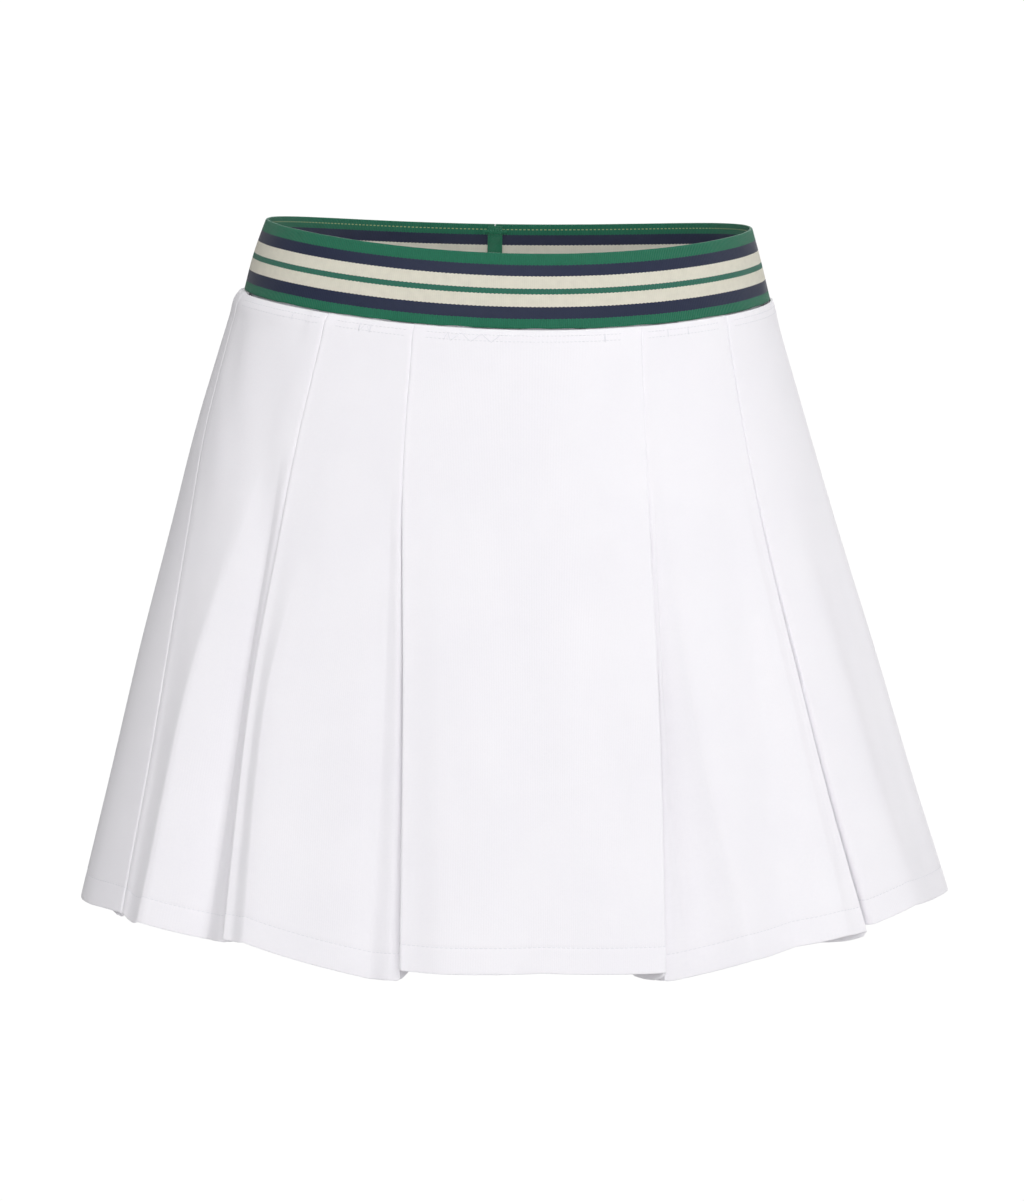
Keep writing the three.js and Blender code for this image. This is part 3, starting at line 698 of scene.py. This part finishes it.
def pleat_nodes(pleat, drop):
    """
    The folded layers of one pleat, as rows of (mm along the plan from the outer crease, mm outwards,
    how much longer the cloth hangs), from the upper panel over the outer crease, back along the return,
    round the inner crease and out again underneath.
    """
    opened = opening(drop)
    inward = pleat["inward"] * opened
    fin = np.array([-math.sqrt(PLEAT_TUCK**2 - inward**2), -inward]) / PLEAT_TUCK
    beside = np.array([-fin[1], fin[0]])
    swing = min(pleat["inward"] / FULL_SWING, 1.0)  # the side pleats stay pressed
    fold_radius = (PRESSED + (LAYER - PRESSED) * opened * swing) / 2
    radius = fold_radius + SPREAD / 2 * opened * swing
    mouth = np.array([0.0, -radius])
    neck = mouth + (PLEAT_TUCK - radius) * fin
    return_start = np.array([-fold_radius, 0.0])
    return_end = neck - radius * beside
    under_start = neck + radius * beside
    under_end = mouth + radius * beside
    under_end[1] -= pleat["gape"] * opened
    # Where a pleat is stitched down, the cloth beneath comes up until it is flush with the crease.
    flush = (1 - opened) ** 3 if swing == 1 else 0.6
    rise = (flush if swing == 1 else 1.15) * (2 * fold_radius - under_end[1])
    lean = math.degrees(math.atan2(-beside[1], -beside[0]))
    steps = np.linspace(0, 1, RETURN_STEPS + 1)[1:-1, None]
    top = 2 * fold_radius
    welt = WELT * (1 - 0.6 * opened) if swing == 1 and pleat["under"] < 0 else 0.0
    crest = np.array([-fold_radius, fold_radius + 0.6 * welt])
    nodes = [
        np.array([-fold_radius - PANEL_END, top]),
        np.array([-fold_radius - 1.7, top + 0.35 * welt]),
        np.array([-fold_radius - 0.7, top + 0.9 * welt]),
        *arc(crest, 0, fold_radius + 0.4 * welt, 90, -90, ARC_STEPS),
        *(return_start + steps * (return_end - return_start)),
        *arc(neck, 0, radius, lean, lean + 180, ARC_STEPS),
        *(under_start + steps * (under_end - under_start)),
        under_end,
        under_end + [1.15 - 0.2 * flush, (0.1 + 0.8 * flush) * rise],
        under_end + [1.45 - 0.2 * flush, (0.85 + 0.1 * flush) * rise],
        under_end + [2.8, rise],
    ]
    nodes = np.array(nodes)
    shares = np.arange(len(nodes)) / (len(nodes) - 1)
    over, inside, below = pleat["over"], pleat["inside"], pleat["below"]
    before = over + (inside - over) * smoothstep(shares, 0.1, 0.35)
    after = inside + (below - inside) * smoothstep(shares, 0.65, 0.95)
    longer = np.where(shares < 0.5, before, after)
    nodes[:, 0] *= pleat["under"]
    return np.column_stack([nodes, longer])


def pleat_stations(pleat, drop, turns):
    """A pleat's nodes in the order of the plan, as rows of (angle, mm outwards, longer)."""
    per_degree = plan_point(skirt_sizes(drop), pleat["angle"](drop))[2]
    nodes = pleat_nodes(pleat, drop)
    nodes[:, 0] = pleat["angle"](drop) + 360 * turns + nodes[:, 0] / per_degree
    return nodes if pleat["under"] > 0 else nodes[::-1]


def shelf(pleat, drop):
    """A panel lies flat on the layers of a pleat that it covers for this far (degrees) from the crease."""
    lean = math.sqrt(PLEAT_TUCK**2 - (pleat["inward"] * opening(drop)) ** 2)
    return (lean + 1.5 * LAYER - PANEL_END) / plan_point(skirt_sizes(drop), pleat["angle"](drop))[2]


def panel_stations(panel, drop, start, end):
    """The stations of one panel, between the last node of one pleat and the first of the next."""
    first, last = PLEATS[panel["from"]], PLEATS[panel["to"]]
    flat_to = start[0] + (shelf(first, drop) if first["under"] < 0 else 0.0)
    flat_from = end[0] - (shelf(last, drop) if last["under"] > 0 else 0.0)
    nodes = [(start[0], 0.0, start[2], 0.0)]
    for fold in panel["folds"]:
        angle = float(fold["angle"](drop))
        angle += 360 if angle < start[0] - 180 else 0
        nodes.append((angle, float(fold["out"](max(drop, STITCHED))), fold["longer"], fold["crisp"]))
    nodes.append((end[0], 0.0, end[2], 0.0))
    rows = []
    for k, (here, there) in enumerate(zip(nodes, nodes[1:])):
        for step in range(1 if k == 0 else 0, FOLD_STEPS):
            s = step / FOLD_STEPS
            angle = here[0] + s * (there[0] - here[0])
            share = min(max((angle - flat_to) / (flat_from - flat_to), 0.0), 1.0)
            layer = start[1] + (end[1] - start[1]) * (0.75 * share + 0.25 * smoothstep(share))
            rise = smoothstep(s) + here[3] * s * (1 - s) ** 2 - there[3] * s**2 * (1 - s)
            out = layer + here[1] + (there[1] - here[1]) * rise
            rows.append((angle, out, here[2] + s * (there[2] - here[2])))
    return np.array(rows)


def piece_stations(panels, drop):
    """All stations of one cut piece, and which of them lie in its shown panels."""
    seam_at = ARC_STEPS + 6  # along the side pleats' returns, where the side seams lie
    parts, shown, turns = [], [], 0
    for k, panel in enumerate(panels):
        first, last = PLEATS[panel["from"]], PLEATS[panel["to"]]
        head = pleat_stations(first, drop, turns)
        turns += 1 if last["seam"] < first["seam"] else 0
        tail = pleat_stations(last, drop, turns)
        between = panel_stations(panel, drop, head[-1], tail[0])
        if k == 0:
            head = head[seam_at if first["under"] > 0 else len(head) - 1 - seam_at :]
        parts += [head, between]
        shown += [np.zeros(len(head)), np.ones(len(between))]
        if k == len(panels) - 1:
            tail = tail[: (seam_at if last["under"] > 0 else len(tail) - 1 - seam_at) + 1]
            parts.append(tail)
            shown.append(np.zeros(len(tail)))
    return np.concatenate(parts), np.concatenate(shown)


def soft_creases(angles, drop, per_degree):
    """How far the soft creases lift the cloth."""
    lift = np.zeros(len(angles))
    for crease in CREASES:
        (angle_from, drop_from), (angle_to, drop_to) = crease["start"], crease["end"]
        share = (drop - drop_from) / (drop_to - drop_from)
        if not 0 < share < 1:
            continue
        middle = angle_from + share * (angle_to - angle_from)
        away = (angles - middle + 180) % 360 - 180
        profile = np.exp(-((away * per_degree / crease["wide"]) ** 2))
        lift += crease["high"] * math.sin(math.pi * share) ** 0.7 * profile
    return lift


def offset_line(points, distance):
    """Moves a plan line sideways, with mitred corners."""
    steps = np.diff(points, axis=0)
    steps /= np.linalg.norm(steps, axis=1, keepdims=True)
    into = np.concatenate([steps[:1], steps])
    onward = np.concatenate([steps, steps[-1:]])
    turn = np.stack([into[:, 1] + onward[:, 1], -into[:, 0] - onward[:, 0]], -1)
    turn /= np.linalg.norm(turn, axis=1, keepdims=True)
    cosine = (turn * np.stack([into[:, 1], -into[:, 0]], -1)).sum(1)
    return points + turn * (distance / np.maximum(cosine, SHARPEST))[:, None]


def skirt_drops():
    """Rows of the skirt's mesh: close at the waist, at the hem's seam and at the edge."""
    hem_seam = SKIRT_LENGTH - HEM_DEPTH
    near_seam = hem_seam + np.array([-2.0, -1.0, -0.5, 0.0, 0.5, 1.0, 2.0])
    near_edge = SKIRT_LENGTH - np.array([4.0, 1.5, 0.6, 0.25, 0.0])
    top = np.concatenate([np.arange(0.0, 14.0, 1.0), np.arange(14.0, 76.0, 4.0)])
    return np.concatenate([top, np.linspace(78.0, hem_seam - 5, 44), near_seam, [hem_seam + 5], near_edge])


def skirt_grids(panels):
    """
    The piece's outer and inner points, its place on the flat cloth, and which columns are shown. Each
    column is as long as its cloth is, so the hem rises where the cloth slants.
    """
    hem_seam = SKIRT_LENGTH - HEM_DEPTH
    outer, inner, lines = [], [], []
    for drop in skirt_drops():
        stations, shown = piece_stations(panels, drop)
        point, normal, per_degree = plan_point(skirt_sizes(drop), stations[:, 0])
        out = stations[:, 1] + soft_creases(stations[:, 0], drop, per_degree)
        # Fine puckers under the waist seam, which die away below it.
        arc_along = stations[:, 0] * plan_point(skirt_sizes(0.0), 0.0)[2]
        out += PUCKER * np.exp(-drop / 7.0) * np.sin(arc_along / 1.5) * np.sin(arc_along / 11.0 + 0.6)
        line = point + out[:, None] * normal
        for end, beside in ((0, 1), (-1, -2)):
            step = line[beside] - line[end]
            line[end] += step / np.linalg.norm(step) * SIDE_SEAM_GAP / 2
        if not lines:
            heights = band_height(stations[:, 0], BAND_HEIGHT) - SEAM_GAP
        else:
            cloth = (drop - last_drop) * (1 + stations[:, 2] / SKIRT_LENGTH)
            slide = np.minimum(np.linalg.norm(line - lines[-1], axis=1), 0.9 * cloth)
            heights = heights - np.sqrt(cloth**2 - slide**2)
        last_drop = drop
        lines.append(line)
        from_edge = min((SKIRT_LENGTH - drop) / HEM_ROUND, 1.0)
        half = KNIT / 2 * (0.35 + 0.65 * math.sqrt(1 - (1 - from_edge) ** 2))
        groove = 0.12 * math.exp(-(((drop - hem_seam) / 0.9) ** 2))
        turned_up = HEM_STEP * float(smoothstep(drop, hem_seam - 0.5, hem_seam + 1.0)) * from_edge
        for face, offset in ((outer, half - groove), (inner, -half - turned_up)):
            face.append(np.column_stack([offset_line(line, offset), heights]))
    middle = lines[len(lines) // 2]
    along = np.concatenate([[0.0], np.cumsum(np.linalg.norm(np.diff(middle, axis=0), axis=1))])
    cloth = np.stack(np.broadcast_arrays(along[None, :], skirt_drops()[:, None]), -1)
    return np.array(outer), np.array(inner), cloth, shown > 0


WALE_PITCH = 0.9  # between the knit's upright rows of loops
COURSE_PITCH = 0.75  # between the rows across it


def make_knit(name, light, shade):
    """A fine jersey: upright rows of loops, a soft nap, and a faint unevenness in its white."""
    knit = Finish(name, roughness=0.85, specular_ior_level=0.25, sheen_weight=0.25, sheen_roughness=0.5)
    place, along, down, _ = knit.cloth_place()
    loops = along.wave(WALE_PITCH) * 0.5 + (down + 0.3 * along.wave(WALE_PITCH)).wave(COURSE_PITCH) * 0.3
    uneven = knit.noise(place, 0.02, 3.0) * 0.6 + knit.noise(place, 0.9, 2.0) * 0.4
    knit.feed(knit.shader.inputs["Base Color"], knit.mix(uneven.smooth(0.2, 0.8), shade, light))
    knit.feed(knit.shader.inputs["Roughness"], 0.8 + 0.1 * uneven)
    knit.bump(loops * 0.3 + uneven * 0.8, 0.00008)
    return knit.material


white_knit = make_knit("white_knit", colour(249, 247, 251), colour(245, 243, 248))

skirt_pieces = {}
for name, node, panels in (
    ("front_skirt", "skirt_front", PANELS[:5]),
    ("back_skirt", "skirt_back", PANELS[5:]),
):
    outer, inner, cloth, shown = skirt_grids(panels)
    piece = cloth_object(name, outer, inner, cloth, white_knit)
    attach(piece, "root")
    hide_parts(node)
    skirt_pieces[name] = {"piece": piece, "outer": outer, "cloth": cloth, "shown": shown}

# ---------------------------------------------------------------- stitching
# White thread. One row holds the turned-up hem. Two rows run close under the waistband, where the knit is
# sewn to the elastic, with short bars across them at the pleats and a zigzag where they were sewn over.

THREAD_RADIUS = 0.17
HEM_STITCH = 2.6  # from one stitch to the next
WAIST_STITCH = 2.2
WAIST_ROWS = [3.0, 6.2]  # mm below the seam
ZIGZAGS = [(-74, -65), (-47, -43), (-25, -7), (88, 110), (150, 166), (-135, -120)]  # degrees
BARS = [-64.7, -46.7, -43.2, 23.0, 42.2, 49.1, 131.0, 155.2, -155.2, -131.0]

thread = Finish("white_thread", roughness=0.6, specular_ior_level=0.4)
grain = thread.noise(thread.node("ShaderNodeNewGeometry", {}), 2400.0)
white = thread.mix(grain, colour(216, 216, 224), colour(244, 244, 248))
thread.feed(thread.shader.inputs["Base Color"], white)
thread.bump(grain, 0.0001)


def skirt_surface(piece, drop):
    """A row of points on a skirt piece's outer face at a drop."""
    drops = piece["cloth"][:, 0, 1]
    row = int(np.clip(np.searchsorted(drops, drop) - 1, 0, len(drops) - 2))
    share = (drop - drops[row]) / (drops[row + 1] - drops[row])
    return piece["outer"][row] * (1 - share) + piece["outer"][row + 1] * share


def spaced(points, gap, fill):
    """Cuts a line of points into pieces of length gap * fill that start a gap apart."""
    lengths = np.concatenate([[0.0], np.cumsum(np.linalg.norm(np.diff(points, axis=0), axis=1))])
    starts = np.arange(gap / 2, lengths[-1] - gap, gap)
    shares = np.linspace(0.0, fill, 4)
    at = starts[:, None] + gap * shares[None, :]
    return np.stack([np.interp(at, lengths, points[:, k]) for k in range(3)], -1)


def runs_of(mask):
    """The stretches of columns where the mask holds, as (first, past the last)."""
    edges = np.flatnonzero(np.diff(np.concatenate([[0], mask.astype(int), [0]])))
    return list(zip(edges[::2], edges[1::2]))


def sewn_row(piece, drop, gap, fill, shown_only):
    """Running stitches along a piece at a drop, half sunk in the cloth."""
    points = skirt_surface(piece, drop)
    mask = piece["shown"] if shown_only else np.ones(len(points), bool)
    paths = []
    for start, end in runs_of(mask):
        paths += list(spaced(points[start:end], gap, fill))
    return paths


def waist_zigzags(piece):
    """Zigzags between the two waist rows, and bars across them."""
    low, high = (skirt_surface(piece, drop) for drop in (WAIST_ROWS[0] - 0.6, WAIST_ROWS[1] + 0.8))
    angles = np.degrees(np.arctan2(low[:, 0], -low[:, 1]))
    shown = np.flatnonzero(piece["shown"])
    paths = []
    for start, end in ZIGZAGS:
        columns = [k for k in shown if start < angles[k] < end]
        for count, (k, after) in enumerate(zip(columns, columns[1:])):
            first, second = (low, high) if count % 2 else (high, low)
            if np.linalg.norm(low[k] - low[after]) < 6:
                paths.append(np.linspace(first[k], second[after], 4))
    for angle in BARS:
        k = min(shown, key=lambda column: abs(angles[column] - angle))
        if abs(angles[k] - angle) < 2:
            paths += [np.linspace(low[k], high[k], 4) + [side, 0, 0] for side in (-0.3, 0.1)]
    return paths


for name, made in skirt_pieces.items():
    paths = sewn_row(made, SKIRT_LENGTH - HEM_DEPTH, HEM_STITCH, 0.8, False)
    for drop in WAIST_ROWS:
        paths += sewn_row(made, drop, WAIST_STITCH, 0.75, True)
    paths += waist_zigzags(made)
    stitches = tubes_object(f"{name}_stitches", paths, THREAD_RADIUS, thread.material, sides=5)
    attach(stitches, "root")
    made["stitches"] = stitches

# ---------------------------------------------------------------- inner shorts
# Close shorts in the same knit, worn under the skirt. Each half is cut in one piece, and the two join at
# the centre front, the crotch and the centre back. They hang from the waist seam with the skirt.

HIP_DOWN = 130.0  # waist seam to the start of the crotch curve
CROTCH_DOWN = 212.0
LEG_DOWN = 274.0
SHORTS_ROWS = table(
    "down right_hip left_hip front back",
    [
        (0.0, 139.8, 137.2, 93.3, 95.0),
        (60.0, 149.0, 147.0, 97.5, 103.0),
        (130.0, 158.0, 158.0, 100.0, 110.0),
        (212.0, 160.0, 160.0, 100.0, 110.0),
    ],
)
LEG_ROWS = table(
    "down inner outer front back",
    [
        (212.0, 0.9, 160.0, 84.0, 94.0),
        (243.0, 4.0, 159.0, 83.0, 92.0),
        (274.0, 9.0, 157.0, 82.0, 89.0),
    ],
)
LEG_HEM = 18.0
SHORTS_ROUND = 480.0  # the cloth of one half, from the centre front round to the centre back
shorts_sizes = plan_sizes(SHORTS_ROWS, "down")
leg_sizes = plan_sizes(LEG_ROWS, "down")
# The shorts' knit is the skirt's white painted a few levels darker: painted shade, for the shade that falls
# on the shorts under the skirt.
shorts_knit = make_knit("shorts_knit", colour(243, 243, 248), colour(236, 236, 243))


def leg_point(down, share):
    """Plan points of a leg, from the inseam (0) round the front, the outer side and the back (1)."""
    size = leg_sizes(down)
    half = (size["outer"] - size["inner"]) / 2
    seam = SEAM_GAP / 2 / size["front"]
    turn = seam + share * (2 * np.pi - 2 * seam)
    deep = np.where(turn < np.pi, size["front"], size["back"])
    return np.stack([size["inner"] + half * (1 - np.cos(turn)), -deep * np.sin(turn)], -1)


def shorts_points(side):
    """The middle of the wall of one half, in rows down from the waist, and its place on the cloth."""
    share = np.linspace(0.0, 1.0, 105)
    near_waist, lower = np.arange(0.0, 20.0, 2.5), np.arange(20.0, HIP_DOWN, 8.0)
    above = [(down, 0.0) for down in (*near_waist, *lower)]
    turns = np.linspace(0, np.pi / 2, 22)
    curve = [(HIP_DOWN + (CROTCH_DOWN - HIP_DOWN) * math.sin(t), 1 - math.cos(t)) for t in turns]
    hem_seam = LEG_DOWN - LEG_HEM
    to_seam = [*np.linspace(218, hem_seam - 2, 9), hem_seam - 0.8, hem_seam, hem_seam + 0.8]
    to_edge = [*np.linspace(hem_seam + 3, LEG_DOWN - 1.5, 5), LEG_DOWN - 0.4, LEG_DOWN]
    leg = [(down, 1.0) for down in to_seam + to_edge]
    angles = side * share * 180
    seam_height = band_height(angles, BAND_HEIGHT) - SEAM_GAP
    rows = []
    for down, closed in above + curve + leg:
        hips = plan_point(shorts_sizes(min(down, CROTCH_DOWN)), angles)[0]
        hips[:, 0] = np.abs(hips[:, 0]) + SEAM_GAP / 2
        plan = hips * (1 - closed) + leg_point(max(down, CROTCH_DOWN), share) * closed
        level = min(max(1 - down / HIP_DOWN, 0.0), 1.0)
        height = level * seam_height + (1 - level) * -BAND_HEIGHT / 2 - down
        creased = 0.5 * np.sin(share * 40 + down * 0.06) * math.sin(math.pi * min(down / CROTCH_DOWN, 1.0))
        creased = creased * smoothstep(share, 0.02, 0.12) * smoothstep(1 - share, 0.02, 0.12)
        plan *= (1 + creased / 120)[:, None]
        rows.append(np.column_stack([side * plan[:, 0], plan[:, 1], height]))
    downs = np.array([down for down, _ in above + curve + leg])
    return np.array(rows), np.stack(np.broadcast_arrays(share[None, :] * SHORTS_ROUND, downs[:, None]), -1)


def grid_normals(grid):
    """Outward normals of a grid whose rows run downwards and columns to larger angles."""
    down, along = np.gradient(grid, axis=0), np.gradient(grid, axis=1)
    normals = np.cross(down, along)
    return normals / np.linalg.norm(normals, axis=-1, keepdims=True)


for name, node, side in (("right_shorts", "shorts_right", -1), ("left_shorts", "shorts_left", 1)):
    middle, cloth = shorts_points(side)
    if side < 0:
        middle, cloth = middle[:, ::-1], cloth[:, ::-1]
    normals = grid_normals(middle)
    hem_seam = LEG_DOWN - LEG_HEM
    groove = 0.25 * np.exp(-(((cloth[..., 1:] - hem_seam) / 0.8) ** 2))
    half = KNIT / 2
    outer, inner = middle + normals * (half - groove), middle - normals * half
    piece = cloth_object(name, outer, inner, cloth, shorts_knit)
    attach(piece, "root")
    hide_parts(node)
    row = int(np.argmin(abs(cloth[:, 0, 1] - hem_seam)))
    hem_line = (middle + normals * half)[row]
    rows = [spaced(hem_line + [0, 0, lift], HEM_STITCH, 0.8) for lift in (-1.6, 1.6)]
    paths = [path for row in rows for path in row]
    stitches = tubes_object(f"{name}_stitches", paths, THREAD_RADIUS, thread.material, sides=5)
    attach(stitches, "root")
